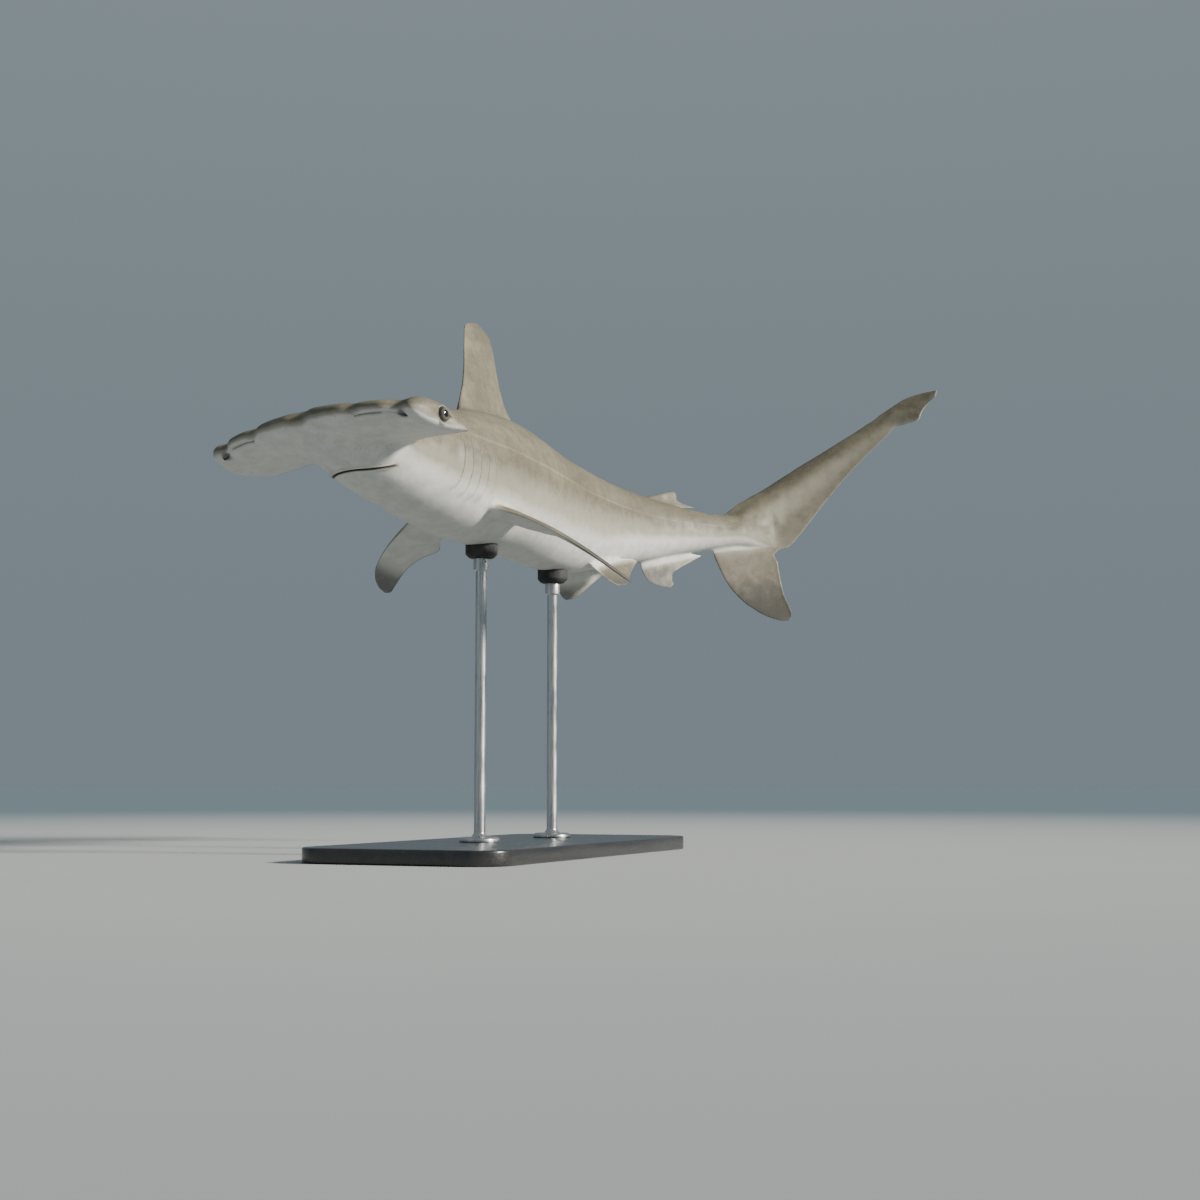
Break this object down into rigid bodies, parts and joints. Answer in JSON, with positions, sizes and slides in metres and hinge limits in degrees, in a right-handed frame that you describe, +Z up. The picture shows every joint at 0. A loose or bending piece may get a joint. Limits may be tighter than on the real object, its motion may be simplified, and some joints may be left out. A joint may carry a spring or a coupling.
{
  "type": "scalloped hammerhead shark model on a display stand",
  "caption": "Life-size scalloped hammerhead shark swimming in a gentle bend with its head wing level, held by slim rods on a flat rounded base plate.",
  "frame": {"origin": "middle of the underside of the stand's base plate", "axes": "+Z up; the shark's trunk heads along -Y, its left side faces +X, and its tail bends towards +X"},
  "size_m": [1.0769, 1.7215, 1.1595],
  "materials": {
    "skin": "fine matt skin, olive grey back fading to a white belly",
    "eye": "wet gloss with a pale ring round a dark pupil",
    "stand_base": "black satin lacquer",
    "stand_rod": "brushed along the rod",
    "stand_pad": "matt"
  },
  "bodies": {
    "root": {"head": "skin", "gill_region": "skin", "trunk_front": "skin", "trunk_rear": "skin", "tail_stem": "skin", "caudal_peduncle": "skin", "first_dorsal_fin": "skin", "second_dorsal_fin": "skin", "anal_fin": "skin", "pectoral_fin_left": "skin", "pectoral_fin_right": "skin", "pelvic_fin_left": "skin", "pelvic_fin_right": "skin", "caudal_fin_upper_lobe": "skin", "caudal_fin_lower_lobe": "skin", "eye_left": "eye", "eye_right": "eye", "stand_base": "stand_base", "stand_rod_front": "stand_rod", "stand_rod_rear": "stand_rod", "stand_pad_front": "stand_pad", "stand_pad_rear": "stand_pad"}
  },
  "joints": []
}
